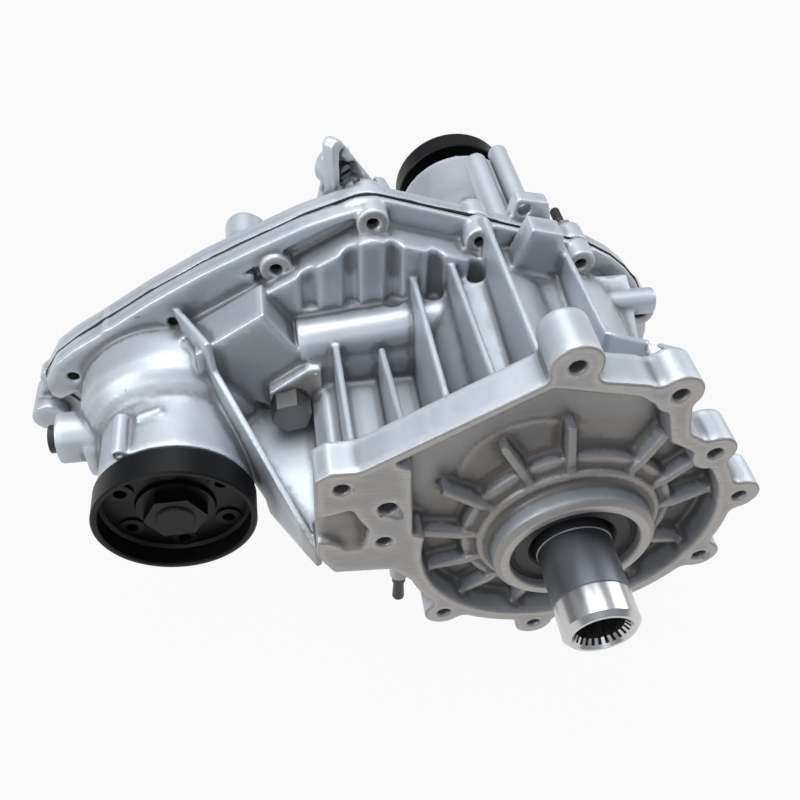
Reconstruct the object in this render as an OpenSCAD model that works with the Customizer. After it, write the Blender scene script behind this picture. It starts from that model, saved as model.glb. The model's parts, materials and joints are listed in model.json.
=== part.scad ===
// Two-output vehicle transfer case. Y runs from the gearbox side (minus) to the
// rear, X to the right of someone facing +Y, Z up. The origin is on the input
// shaft's axis, in the plane of the front case's bell flange.

/* [Layout] */
// Distance from the input axis to the front output axis
centre_span = 238.5; // [226:0.5:248]
// Height of the idler above the line between the two outputs
idler_rise = 28.03; // [24:0.01:32]
// Y of the joint between the two castings
seam_y = 165; // [160:1:172]
// Thickness of the sealant line between the castings
sealant_t = 1; // [0.5:0.1:1.5]
// Y of the front output cup's rim
front_cup_y = 42.5; // [38:0.5:46]
// Y of the rear output cup's back plate
rear_cup_y = 372; // [366:1:380]

/* [Gears] */
// Teeth of the drive gear and of the driven gear
end_teeth = 42; // [40:1:43]
// Teeth of the idler gear
idler_teeth = 56; // [56:1:58]
// Face width of the gears
gear_face = 28; // [22:1:29]
// Play between meshing flanks
backlash = 0.2; // [0.1:0.05:0.4]

/* [Bell flange] */
// Thickness of the bell's rim
bell_t = 24; // [20:1:28]
// Radius of the bell's rim
bell_r = 102; // [98:1:106]
// Width of the rim round the recess
bell_rim_w = 10; // [8:0.5:13]
// Bore of the gearbox bolt holes
bell_hole_d = 8.8; // [8:0.1:10.5]
// Radius of the bolt bosses
bell_boss_r = 13; // [12:0.5:14]
// Depth of the recess in the bell
bell_depth = 20; // [16:1:21]

/* [Castings] */
// Width of the seam flange outside the clutch tunnel
flange_w = 24; // [22:0.5:26]
// Width of the seam flange outside the driven gear's room
front_flange_w = 8.5; // [8:0.5:11]
// Thickness of the front case's seam lip
lip_t = 5; // [4:0.5:8]
// Thickness of the front case's flange beside the front output
side_lip_t = 13; // [11:0.5:15]
// Thickness of the rear case's seam lip
rear_lip_t = 11; // [9:0.5:13]
// Wall of the castings
wall = 6; // [5:0.5:7]
// Wall of the clutch tunnel
tunnel_wall = 8; // [6:0.5:9]
// Wall in front of the gears, with the grooves in it
face_wall = 8; // [7:0.5:9]
// Radius of the seam bolt bosses
seam_boss_r = 10; // [9:0.5:11]
// Nominal diameter of the seam bolts
seam_bolt_d = 8; // [6:0.5:9]
// Thickness of the outer ribs
rib_t = 4; // [3:0.5:5]
// Pitch of the upright grooves in the idler wall
groove_pitch = 26.5; // [25:0.5:28]
// Radius of the upright grooves
groove_r = 6; // [5:0.5:7]
// Depth of the upright grooves
groove_depth = 4.5; // [3:0.5:5]

/* [Input shaft] */
// Outer diameter of the input shaft's nose
nose_d = 46; // [42:1:47]
// How far the nose stands in front of the bell flange
nose_len = 66; // [58:1:74]
// Teeth of the spline inside the nose
spline_teeth = 24; // [18:1:28]
// Pitch diameter of the inner spline
spline_d = 31; // [28:0.5:33]
// Depth of the inner spline
spline_len = 46; // [30:1:52]

/* [Output cups] */
// Outer diameter of the output cups
cup_d = 100; // [96:1:102]
// Length of an output cup
cup_len = 19.5; // [17:0.5:22]
// Wall of an output cup
cup_wall = 4; // [3:0.5:5]
// Bolt circle diameter in a cup
cup_pcd = 70; // [66:1:72]
// Bolts in a cup
cup_bolts = 6; // [4:1:8]
// Diameter of the cup bolts' threads
cup_bolt_d = 8; // [6:0.5:9]

/* [Clutch] */
// Outer radius of the clutch drum
drum_r = 66; // [62:0.5:70]
// Room round the clutch drum
drum_gap = 6; // [4:0.5:7]
// Number of friction plates
plates = 6; // [4:1:7]
// Thickness of a friction plate
plate_t = 2.6; // [2:0.1:2.8]
// Travel of the pressure plate
press_travel = 1.2; // [0.8:0.1:1.5]

/* [Hidden] */
$fn = 64;
fit = 0.03;
// The gears fit the distances between the shafts
main_c = [0, 0];
front_c = [-centre_span, 0];
idler_c = [-centre_span / 2, idler_rise];
gear_m = 2 * norm(idler_c) / (end_teeth + idler_teeth);
// Rooms for the gears and the clutch, and the seam outline round them
tip_gap = 2.5;
tunnel_r = drum_r + drum_gap + tunnel_wall;
main_room = tunnel_r;
idler_room = gear_m * (idler_teeth / 2 + 1) + tip_gap;
driven_room = gear_m * (end_teeth / 2 + 1) + tip_gap;
seam_r = main_room + flange_w;
seam_front_r = driven_room + front_flange_w;
peak_r = 31;
peak_side = 15.25;
peak_rise = 10;
peak_c = [idler_c[0] + peak_side, idler_c[1] + idler_room + peak_rise];
main_ring = [main_c[0], main_c[1], seam_r];
peak_ring = [peak_c[0], peak_c[1], peak_r];
front_ring = [front_c[0], front_c[1], seam_front_r];
ledge = 15;
room_wall = 4.5;
seam_rear_y = seam_y + sealant_t;
wall_y = seam_y - 27;
chamber_y0 = wall_y + face_wall;
chamber_y1 = seam_rear_y + 19;
cover_y1 = chamber_y1 + wall;
gear_y0 = (chamber_y0 + chamber_y1 - gear_face) / 2;
gear_y1 = gear_y0 + gear_face;
boss_y0 = seam_y - 17;
boss_y1 = seam_rear_y + 17;

// Outline of a belt round circles [x, z, r], listed anticlockwise
function tangent_dir(a, b) =
  let(d = [b[0] - a[0], b[1] - a[1]])
  atan2(d[1], d[0]) - acos((a[2] - b[2]) / norm(d));
function arc_pts(c, a0, a1, step = 9) =
  let(span = a1 - a0, n = max(1, ceil(span / step)))
  [for (i = [0:n]) [c[0] + c[2] * cos(a0 + span * i / n), c[1] + c[2] * sin(a0 + span * i / n)]];
function belt_pts(cs) = let(n = len(cs)) [
  for (i = [0:n - 1])
    let(a = tangent_dir(cs[(i + n - 1) % n], cs[i]), b0 = tangent_dir(cs[i], cs[(i + 1) % n]),
        b = b0 < a - 0.001 ? b0 + 360 : b0)
    for (p = arc_pts(cs[i], a, b)) p];
module belt(grow = 0) polygon(belt_pts([for (c = [main_ring, peak_ring, front_ring]) [c[0], c[1], c[2] + grow]]));
// Points on the outline's round ends, and on its straight runs
function on_ring(c, a, out) = [c[0] + (c[2] + out) * cos(a), c[1] + (c[2] + out) * sin(a)];
function on_edge(a, b, t, inside) =
  let(w = tangent_dir(a, b), x = [a[0] + (b[0] - a[0]) * t, a[1] + (b[1] - a[1]) * t], r = a[2] + (b[2] - a[2]) * t)
  [x[0] + (r - inside) * cos(w), x[1] + (r - inside) * sin(w)];

// Gear chamber: a circle round each gear and the sump that joins them
module chamber(grow = 0) {
  polygon(belt_pts([[main_c[0], main_c[1], main_room + grow], [front_c[0], front_c[1], driven_room + grow]]));
  translate(idler_c) circle(r = idler_room + grow, $fn = 72);
}
// The chamber's outer wall, one ledge inside the seam's outline
module chamber_wall() {
  belt(-ledge);
  chamber(room_wall);
}

// Extrusion along Y of a shape drawn in X and Z, and round bodies along Y
module ext(y0, y1) translate([0, y1, 0]) rotate([90, 0, 0]) linear_extrude(y1 - y0) children();
module rod(y0, y1, r, at = [0, 0]) translate([at[0], y1, at[1]]) rotate([90, 0, 0]) cylinder(h = y1 - y0, r = r);
module tube(y0, y1, ro, ri, at = [0, 0]) difference() {
  rod(y0, y1, ro, at);
  rod(y0 - 1, y1 + 1, ri, at);
}
module turned(points, at = [0, 0]) translate([at[0], 0, at[1]]) rotate([-90, 0, 0]) rotate_extrude() polygon(points);
// Prism along X of a shape drawn in Y and Z
module side_ext(x0, x1) translate([x0, 0, 0]) rotate([90, 0, 90]) linear_extrude(x1 - x0) children();
module at_xz(p) translate([p[0], 0, p[1]]) children();
module round_y(n, phase = 0) for (i = [0:n - 1]) rotate([0, -phase - 360 * i / n, 0]) children();

// Seam bolts and dowels, each clear of the gear chamber
bolt_in = 6.8;
flat_bolts = [on_ring(front_ring, 158.3, 4.5), on_edge(peak_ring, front_ring, 0.776, 11)];
boss_bolts = concat(
  [on_edge(peak_ring, front_ring, 0.318, 9.8), on_ring(peak_ring, 84, -9.9)],
  [on_edge(main_ring, peak_ring, 0.514, bolt_in)],
  [for (a = [68.4, 24.4, -15.5, -53.7, -90]) on_ring(main_ring, a, -bolt_in)],
  [for (t = [0.8, 0.526, 0.253]) on_edge(front_ring, main_ring, t, 9 * t)],
  [for (a = [-105, -155]) on_ring(front_ring, a, 4.5)]);
seam_bolts = concat(flat_bolts, boss_bolts);
dowels = [on_ring(front_ring, 120, 0), on_ring(main_ring, -40, -bolt_in)];

// Bell flange bolt holes
bell_holes = [[-138, 71], [-115, 17], [-21, 148], [39, 120], [74, 67], [103, 22],
  [96, -42], [-8, -107], [-74, -76]];
bell_dowel_hole = [-113, 49];
bell_dowel_d = 11;
bore_r = 40;
pilot_r = 50;
hub_face_y = -12;

// Outline of the bell flange, with soft corners between the bosses
module bell_shape() {
  offset(r = -7, $fn = 36) offset(r = 7, $fn = 36) {
    circle(r = bell_r, $fn = 72);
    polygon([[-152, 80], [-144, 85], [-129, 84], [-30, 141], [20, 130], [48, 112],
      [60, 60], [-60, 0], [-90, -40], [-110, -14], [-145, -10], [-154, 8]]);
    for (h = bell_holes) translate(h) circle(r = bell_boss_r, $fn = 36);
    translate(bell_dowel_hole) circle(r = bell_boss_r);
  }
}
module recess_shape() {
  offset(r = -4, $fn = 24) offset(r = 4, $fn = 24) difference() {
    union() {
      circle(r = bell_r - bell_rim_w, $fn = 72);
      polygon([[-100, 82], [-110, 88], [-31, 134], [16, 122], [35, 108], [50, 60], [-50, 0], [-98, 20]]);
    }
    for (h = bell_holes) translate(h) circle(r = bell_boss_r + 1, $fn = 36);
    polygon([[-160, 60], [-104, 58], [-99, 36], [-104, 30], [-97, 8], [-97, -6], [-110, -30], [-160, -30]]);
  }
}
// Floor of the bell's recess, the seal boss and the clutch tunnel, in one turned wall
module hub_wall() turned([
  [bore_r, hub_face_y], [46, hub_face_y], [pilot_r, hub_face_y + 3], [pilot_r, 3], [57, 4], [58, 8],
  [66, 9], [67.5, bell_depth - 3], [bell_r - bell_rim_w + 2, bell_depth],
  [bell_r - bell_rim_w + 2, bell_depth + wall], [tunnel_r + 3, bell_depth + wall + 6],
  [tunnel_r, bell_depth + 24], [tunnel_r, wall_y + 4], [tunnel_r - 8, wall_y + 4],
  [tunnel_r - 8, 40], [tunnel_r - 14, 32], [36, 32], [36, 24.3], [bore_r, 24.3]]);
module hub_ribs() {
  for (a = [12, 35, 59, 97, 121, 150, 176, 201, 228, 256, 283, 310, 337])
    rotate([0, -a, 0]) translate([0, 0, -2.5]) linear_extrude(5)
      polygon([[55, 6], [66, 5], [bell_r - bell_rim_w + 1, 9], [bell_r - bell_rim_w + 1, bell_depth + 2], [60, 18]]);
}

// Outer body behind the bell, without its bores
module front_bulk() {
  ext(0, bell_t) difference() {
    bell_shape();
    recess_shape();
  }
  ext(bell_depth, bell_depth + wall) offset(delta = 3) recess_shape();
  hub_wall();
  hub_ribs();
  rod(0, 30, bell_boss_r + 1, bell_holes[2]);
  // Clutch tunnel's shoulder and the raised back over it
  translate([-28, wall_y + 6, 50]) rotate([90, 0, 0]) cylinder(h = wall_y - bell_t + 12, r1 = 50, r2 = 41);
  turned([[tunnel_r - 8, wall_y - 58], [tunnel_r, wall_y - 58], [seam_r - ledge + 0.6, wall_y + 2],
    [seam_r - ledge + 0.6, seam_y - 2], [tunnel_r - 8, seam_y - 2]]);
  // Gear chamber and its lip
  ext(wall_y, seam_y - 4) chamber_wall();
  ext(seam_y - lip_t, seam_y) belt();
  ext(seam_y - side_lip_t, seam_y) intersection() {
    belt();
    translate([front_c[0] - 90, -100]) square([152, 200]);
  }
  for (b = boss_bolts) rod(boss_y0, seam_y, seam_boss_r, b);
  for (b = flat_bolts) rod(seam_y - side_lip_t, seam_y, seam_boss_r, b);
  for (b = dowels) rod(seam_y - side_lip_t, seam_y, seam_boss_r - 2, b);
  front_neck();
  idler_back();
  fill_box();
  front_ribs();
  lugs();
}
// Round housing of the front output, from the chamber down to the seal
module front_neck() {
  turned([[30, front_cup_y + 22], [neck_r, front_cup_y + 22], [neck_r, wall_y - 34], [neck_r + 2, wall_y - 31],
    [neck_r + 7, wall_y - 27], [neck_r + 12, wall_y - 20], [neck_r + 15, wall_y - 12], [neck_r + 16, wall_y - 2],
    [neck_r + 16, wall_y + 20], [30, wall_y + 20]], front_c);
  // Side boss with the level plug, the small vent boss and the raised bar
  translate([side_x, side_y, side_z]) rotate([0, 90, 0]) cylinder(h = 60, r = 17);
  translate([side_x + 18, side_y, side_z - 8]) rotate([0, 90, 0]) cylinder(h = 40, r = 22);
  rod(front_cup_y + 21, wall_y - 43, 4.2, vent_c);
  translate([front_c[0] - 16.2, wall_y - 48, 45.4]) rotate([0, 79.5, 10.3]) cylinder(h = 15.3, r = 2.6);
}
// Step behind the bell: the ridge under the grooves, the wall below it, the saddle
module idler_back() {
  translate([-152, wall_y - 10, 62]) rotate([0, 84, 0]) cylinder(h = 118, r = 15);
  side_ext(-148, -58) polygon([[wall_y + 2, -62], [wall_y - 30, -54], [wall_y - 28, 56], [wall_y - 20, 74], [wall_y + 2, 76]]);
  ext(bell_t - 2, wall_y - 26) polygon([[-148, 30], [-140, 40], [-70, 40], [-58, 56], [-58, -58], [-96, -46],
    [-118, -22], [-146, -12]]);
}
// Box over the fill passage and the pad that carries the fill plug
module fill_box() {
  translate([front_c[0], 0, 0]) {
    ext(wall_y - 23, chamber_y0 - 1) polygon([[22, 71], [66.2, 99], [85, 66], [96, 56], [96, 18], [64, 18], [34, 40], [22, 52]]);
    ext(fill_y, wall_y - 20) polygon([[64, 40], [90, 58], [98, 58], [98, 0], [66, 0]]);
  }
  // Diagonal web from the lip to the bell's ear, and the gusset behind it
  translate([web_top[0], web_top[1], 0]) rotate([0, 0, -web_turn]) translate([0, rib_t / 2, 0])
    rotate([90, 0, 0]) linear_extrude(rib_t)
      polygon([[0, 78], [50, 82], [54, 62], [web_len, 6], [web_len, -10], [web_len - 14, -14], [web_len - 61, -24],
        [web_len - 67, -6], [86, -1], [70, 4], [40, -20], [0, -20]]);
  intersection() {
    side_ext(front_c[0] + 20, -145) polygon([[20, -14], [20, 8], [60, 14], [wall_y - 21, 16], [wall_y - 21, -10], [60, -22]]);
    translate([0, 0, -40]) linear_extrude(100) polygon([web_foot, web_top, [-145, seam_y], [-145, web_foot[1]]]);
  }
}
module front_ribs() {
  // Ribs from the bell's rim back to the step, each by its place and its two heights
  for (r = [[-130, 84, 71, wall_y - 24], [-102, 95, 70, wall_y - 30],
            [-78, 109, 100, wall_y + 2], [-54, 123, 108, wall_y + 2], [-31, 136, 128, seam_y - 8]])
    side_ext(r[0] - rib_t / 2, r[0] + rib_t / 2)
      polygon([[bell_t - 2, r[1] - 1], [r[3], r[2]], [r[3], 20], [bell_t - 2, 20]]);
  // Curved web to the second ear of the flange
  side_ext(19, 19 + rib_t) polygon([[60, 111], [seam_y - 6, 106], [seam_y - 6, 40], [60, 40]]);
  translate([19, 64, 40]) rotate([0, 0, -61]) translate([0, rib_t, 0]) rotate([90, 0, 0]) linear_extrude(rib_t)
    polygon([[0, 0], [46, 0], [46, 90], [30, 83], [10, 73], [0, 70.5]]);
}
module lugs() {
  // Wedge lug on the seam, and the tubular ridge on the right flank
  ext(wall_y + 2, seam_y - 8) polygon([[-14, 98], [-4, 127], [17, 121], [21, 90]]);
  translate([22, wall_y + 1, 62]) rotate([0, 90, 0]) cylinder(h = 66, r = 9);
  side_ext(22, 72) polygon([[seam_y - 12, 76], [wall_y + 2, 70], [wall_y - 30, 50], [wall_y - 30, 30], [seam_y - 12, 30]]);
  // Bosses of the drain plug and of the nipple
  translate([drain_c[0], drain_c[1], drain_z + 1.5]) cylinder(h = 22, r = 15);
  translate([nipple_c[0], nipple_c[1], nipple_z]) cylinder(h = 34, r = 6.5);
}
groove_top = [113, 126, 128, 119, 109];
module grooves() {
  for (i = [0:4]) translate([idler_c[0] - 24.25 + groove_pitch * i, wall_y + groove_depth - groove_r, 0]) {
    translate([0, 0, 80]) cylinder(h = groove_top[i] - 80, r = groove_r);
    translate([0, 0, groove_top[i]]) sphere(r = groove_r);
  }
}

// Bearing sizes: outer radius, inner radius, ball radius, balls
main_brg = [40, 25, 4.8, 13];
front_brg = [36, 17.5, 5.5, 9];
idler_brg = [31, 15, 4.6, 9];
main_brg_y = [[8, 24], [188, 204], [318, 334]];
front_brg_y = [[front_cup_y + 36, front_cup_y + 53], [chamber_y1 + 0.3, chamber_y1 + 14]];
idler_brg_y = [[gear_y0 + 0.5, gear_y0 + 13.5], [gear_y1 - 13.5, gear_y1 - 0.5]];

module front_case() color("gainsboro") difference() {
  union() {
    difference() {
      front_bulk();
      grooves();
      // Gear chamber, clutch tunnel and the cone towards the front output
      ext(chamber_y0, seam_y + 1) chamber();
      turned([[0, 36], [tunnel_r - 14, 36], [tunnel_r - 8, 42], [tunnel_r - 8, chamber_y0 + 1], [0, chamber_y0 + 1]]);
      turned([[0, front_cup_y + 54], [38, front_cup_y + 54], [44, wall_y - 20], [52, wall_y + 3],
        [52, chamber_y0 + 1], [0, chamber_y0 + 1]], front_c);
    }
    // Seat of the idler shaft
    rod(wall_y - 8, chamber_y0 + 2, 24, idler_c);
  }
  rod(hub_face_y - 1, 37, 36, main_c);
  rod(hub_face_y - 1, main_brg_y[0][1] + 0.3, bore_r + fit, main_c);
  rod(front_cup_y + 20, front_cup_y + 56, 31, front_c);
  rod(front_cup_y + 20, front_cup_y + 33, front_seal_r + fit, front_c);
  rod(front_brg_y[0][0] - 0.3, front_brg_y[0][1] + 2, front_brg[0] + fit, front_c);
  rod(wall_y - 2, chamber_y0 + 3, 15 + fit, idler_c);
  for (h = bell_holes) rod(-1, 40, bell_hole_d / 2, h);
  rod(-1, 20, bell_dowel_d / 2, bell_dowel_hole);
  for (b = seam_bolts) rod(boss_y0 - 1, seam_y + 1, seam_bolt_d / 2 + fit, b);
  for (b = dowels) rod(seam_y - 8, seam_y + 1, 4 + fit, b);
  // Scooped notch in the left ear of the bell
  intersection() {
    ext(-1, 14) offset(r = 3) polygon([[-160, 28], [-146, 25], [-139, 20], [-134, 10], [-130, 14], [-128, 26],
      [-127, 30], [-132, 40], [-135, 48], [-141, 46], [-160, 42]]);
    side_ext(-160, -120) polygon([[-2, 60], [12, 60], [11, 44], [7, 28], [-2, 6]]);
  }
  rod(fill_y - 1, fill_y + 13, fill_thread_r + fit, fill_c);
  translate([side_x - 1, side_y, side_z]) rotate([0, 90, 0]) cylinder(h = 15, r = 6 + fit);
  rod(front_cup_y + 20, front_cup_y + 30, 2, vent_c);
  translate([drain_c[0], drain_c[1], -130]) cylinder(h = 72, r = 7 + fit);
  translate([nipple_c[0], nipple_c[1], nipple_z - 1]) cylinder(h = 13, r = 2.5 + fit);
}
front_seal_r = 38;
neck_r = 48;
side_x = front_c[0] - 76;
side_y = wall_y - 18.7;
side_z = 3;
vent_c = [front_c[0] - 26.3, 44];
web_top = [front_c[0] + 8.5, seam_y - 8];
web_foot = [-154, 8];
web_turn = atan2(web_top[1] - web_foot[1], web_foot[0] - web_top[0]);
web_len = norm(web_top - web_foot) + 2;
fill_c = [front_c[0] + 77, 32];
fill_y = wall_y - 32;
fill_thread_r = 9;
drain_c = [-30, wall_y - 6];
drain_z = -97.5;
nipple_c = [-101, 26];
nipple_z = -62;

// Rear casting
tail_r = 52;
tail_y = rear_cup_y - 20;
control_foot = [peak_c[0] - 14.8, seam_rear_y + 18, peak_c[1] + 26];
control_turn = 45;
control_axis = [11, 3];
module rear_bulk() {
  ext(seam_rear_y, seam_rear_y + rear_lip_t) belt();
  for (b = seam_bolts) rod(seam_rear_y, boss_y1, seam_boss_r, b);
  for (b = dowels) rod(seam_rear_y, boss_y1 - 6, seam_boss_r - 2, b);
  ext(seam_rear_y + 4, cover_y1) chamber_wall();
  // Tail over the rear shaft, in three cones
  turned([[30, cover_y1 - 2], [82, cover_y1 - 2], [74, cover_y1 + 12], [60, cover_y1 + 40], [56, tail_y - 60],
    [tail_r, tail_y - 40], [tail_r, tail_y], [30, tail_y]]);
  // Bearing cap behind the driven gear and the idler's boss
  turned([[10, cover_y1 - 2], [50, cover_y1 - 2], [46, cover_y1 + 12], [10, cover_y1 + 14]], front_c);
  rod(cover_y1 - 2, cover_y1 + 8, 26, idler_c);
  rear_ribs();
  // Bosses along the tail and the lifting ear
  rod(cover_y1 - 4, 300, 7.5, [15, 84]);
  rod(cover_y1 - 4, 292, 8.5, [-4, 82]);
  ext(seam_rear_y + 9, seam_rear_y + 21) difference() {
    offset(r = 3) offset(r = -3) polygon([[-12, 90], [-5, 126], [17, 121], [24, 90]]);
    translate(ear_hole) circle(r = 4.4);
  }
  // Sensor boss and the tower of the control drive
  rod(seam_rear_y + 4, sensor_y1, 12.5, sensor_c);
  rod(seam_rear_y + 4, sensor_y1 - 2, 5, [sensor_c[0] + 8, sensor_c[1] + 5]);
  control_tower();
  // Round foot and ear at the far left
  at_xz(front_c) {
    rod(seam_y - 11, seam_rear_y + 20, 12, [-91.5, -14]);
    ext(seam_rear_y, seam_rear_y + rear_lip_t) polygon([[-60, 30], [-88, 16], [-102, -10], [-94, -25], [-58, -36]]);
    rod(seam_rear_y, seam_rear_y + 12, 9, [-83.5, 12]);
  }
}
// Plate of the control drive with the neck behind it, and the tower below them
control_plate = [[-4, -34], [36, -34], [36, -14], [-4, 41]];
module control_tower() {
  on_control() {
    ext(0, 9) offset(r = 5) offset(delta = -5) polygon(control_plate);
    rod(8, 20, 11, control_axis);
    ext(8, 16) polygon([[-1, -34], [26, -34], [22, 14], [1, 14]]);
  }
  at_xz(peak_c) ext(seam_rear_y + 6, seam_rear_y + 34) polygon([[-30, 0], [-26, 18], [-8, 26], [16, 20], [26, 0], [0, -40], [-26, -40]]);
}
module rear_ribs() {
  for (a = [200, 235, 270, 305, 340, 20, 60, 130])
    rotate([0, -a, 0]) translate([0, 0, -rib_t / 2]) linear_extrude(rib_t)
      polygon([[40, cover_y1 - 1], [seam_r - ledge - 3, cover_y1 - 1], [seam_r - ledge - 5, cover_y1 + 3], [58, cover_y1 + 52], [40, cover_y1 + 52]]);
  at_xz(front_c) for (a = [60, 120, 180, 240, 300])
    rotate([0, -a, 0]) translate([0, 0, -rib_t / 2]) linear_extrude(rib_t)
      polygon([[30, cover_y1 - 1], [58, cover_y1 - 1], [56, cover_y1 + 2], [44, cover_y1 + 12], [30, cover_y1 + 12]]);
}
module rear_case() color("gainsboro") difference() {
  union() {
    difference() {
      rear_bulk();
      ext(seam_rear_y - 1, chamber_y1) chamber();
      turned([[0, chamber_y1 - 1], [main_brg[0] + 6, chamber_y1 - 1], [main_brg[0] + 6, main_brg_y[1][1] + 6],
        [50, main_brg_y[1][1] + 10], [48, tail_y - 60], [44, tail_y - 36], [0, tail_y - 36]]);
      // Hollow round the middle bearing's seat
      turned([[54, chamber_y1 - 1], [74, chamber_y1 - 1], [66, cover_y1 + 8], [54, cover_y1 + 10]]);
    }
    tube(chamber_y1 - 4, main_brg_y[1][1] + 4, main_brg[0] + 8, main_brg[0] - 3);
    rod(chamber_y1 - 6, chamber_y1 + 2, 24, idler_c);
    tube(chamber_y1 - 2, chamber_y1 + 2, front_brg[0] + 8, front_brg[0] - 2, front_c);
  }
  rod(chamber_y1 - 5, main_brg_y[1][1] + 0.3, main_brg[0] + fit);
  rod(main_brg_y[1][1], main_brg_y[1][1] + 10, main_brg[0] - 4);
  rod(tail_y - 37, tail_y + 1, main_brg[0] - 4);
  rod(main_brg_y[2][0] - 0.3, tail_y + 1, main_brg[0] + fit);
  rod(main_brg_y[2][1] + 0.2, main_brg_y[2][1] + 2.4, circlip_r + 0.1);
  rod(chamber_y1 - 3, front_brg_y[1][1] + 0.3, front_brg[0] + fit, front_c);
  rod(chamber_y1 - 7, chamber_y1 + 6, 15 + fit, idler_c);
  for (b = seam_bolts) {
    rod(seam_rear_y - 1, boss_y1 + 1, seam_bolt_d / 2 + 0.5, b);
    rod(boss_y1, boss_y1 + 16, seam_boss_r - 2, b);
  }
  for (b = dowels) rod(seam_rear_y - 1, seam_rear_y + 8, 4 + fit, b);
  on_control() {
    // Recess in the plate, the shaft's bore in two steps, and the screw hole
    intersection() {
      ext(-1, 6) offset(delta = -6) polygon(control_plate);
      rod(-1, 7, 15, [14, 8]);
    }
    rod(-1, 18, 8 + fit, control_axis);
    rod(-1, 10, control_hole_r, control_hole);
  }
  rod(sensor_y1 - 14, sensor_y1 + 1, 8, sensor_c);
  translate([breather_c[0], breather_c[1], 58]) cylinder(h = 50, r = 2.5 + fit);
}
control_hole = [5, 20.5];
control_hole_r = 2.75;
sensor_c = [front_c[0] + 57.5, 98];
sensor_y1 = seam_rear_y + 40;
ear_hole = [1, 117];
circlip_r = 41.4;
breather_c = [36, cover_y1 + 9];

module seam_sealant() color([0.08, 0.08, 0.09]) difference() {
  ext(seam_y, seam_rear_y) belt(0.6);
  ext(seam_y - 1, seam_rear_y + 1) offset(delta = 1) chamber();
  for (b = seam_bolts) rod(seam_y - 1, seam_rear_y + 1, seam_bolt_d / 2 + 0.5, b);
  for (b = dowels) rod(seam_y - 1, seam_rear_y + 1, 4.5, b);
}
// Seam bolts, put in from the rear
module case_bolts() color("silver") for (b = seam_bolts) {
  rod(boss_y0 + 6, boss_y1, seam_bolt_d / 2, b);
  rod(boss_y1, boss_y1 + 1.5, seam_bolt_d * 0.85, b);
  difference() {
    translate([b[0], boss_y1 + 1.5 + seam_bolt_d * 0.8, b[1]]) rotate([90, 0, 0])
      cylinder(h = seam_bolt_d * 0.8, r = seam_bolt_d * 0.75, $fn = 6);
    rod(boss_y1 + 1.5 + seam_bolt_d * 0.7, boss_y1 + 12, seam_bolt_d * 0.45, b);
  }
}
module dowel_pins() color("silver") for (b = dowels) rod(seam_y - 7.5, seam_rear_y + 7.5, 4, b);

// Involute gear outline with a tooth centred on the +X axis
function inv_deg(a) = tan(a) * 180 / PI - a;
function tooth_half(r, z) =
  let(rp = gear_m * z / 2, rb = rp * cos(20), a = acos(min(1, rb / r)))
  90 / z - (backlash / 4) / rp * 180 / PI + inv_deg(20) - inv_deg(a);
function gear_pts(z) = let(rp = gear_m * z / 2, rr = rp - 1.22 * gear_m, ra = rp + 0.96 * gear_m,
    rs = [rr, rp - 0.5 * gear_m, rp + 0.25 * gear_m, ra], n = len(rs) - 1)
  [for (k = [0:z - 1]) let(c = 360 * k / z) for (j = [0:2 * n + 1])
    let(up = j <= n, r = rs[up ? j : 2 * n + 1 - j], h = tooth_half(r, z), a = c + (up ? -h : h))
    [r * cos(a), r * sin(a)]];
// Turn of the follower that puts its tooth gaps on the driver's teeth
function mesh_turn(za, zb, turn_a, line) = line + 180 - za / zb * (turn_a - line) + 180 / zb;
line_1 = atan2(idler_c[1], idler_c[0]);
line_2 = atan2(-idler_c[1], idler_c[0]);
turn_idler = mesh_turn(end_teeth, idler_teeth, 0, line_1);
turn_driven = mesh_turn(idler_teeth, end_teeth, turn_idler, line_2);
module spur(z, turn, bore, at, rim_in, hub_out, holes) at_xz(at) difference() {
  ext(gear_y0, gear_y1) rotate(turn) polygon(gear_pts(z));
  rod(gear_y0 - 1, gear_y1 + 1, bore);
  for (y = [gear_y0 - 1, gear_y1 - 7]) tube(y, y + 8, rim_in, hub_out);
  round_y(holes) rod(gear_y0 - 1, gear_y1 + 1, (rim_in - hub_out) / 2 - 2, [(rim_in + hub_out) / 2, 0]);
}
gear_seat_r = 27;
module drive_gear() color("gray") spur(end_teeth, 0, gear_seat_r + fit, main_c, 45, 34, 6);
module idler_gear() color("gray") spur(idler_teeth, turn_idler, idler_brg[0] + fit, idler_c, 62, 38, 6);
module driven_gear() color("gray") spur(end_teeth, turn_driven, 20 + fit, front_c, 45, 27, 6);

// Square-toothed ring outline, for splines and plate tangs
function toothed(r0, r1, n) = [for (k = [0:n - 1]) let(s = 360 / n) for (p = [[r0, 0], [r0, 0.25], [r1, 0.25], [r1, 0.5],
    [r1, 0.75], [r0, 0.75]]) [p[0] * cos(s * (k + p[1])), p[0] * sin(s * (k + p[1]))]];
hub_r = 38;
hub_tooth = 2.4;
stack_y0 = 62;
stack_pitch = plate_t * 2 + 0.2;
stack_y1 = stack_y0 + plates * stack_pitch + plate_t;
drum_y1 = gear_y0 - 0.3;
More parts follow.
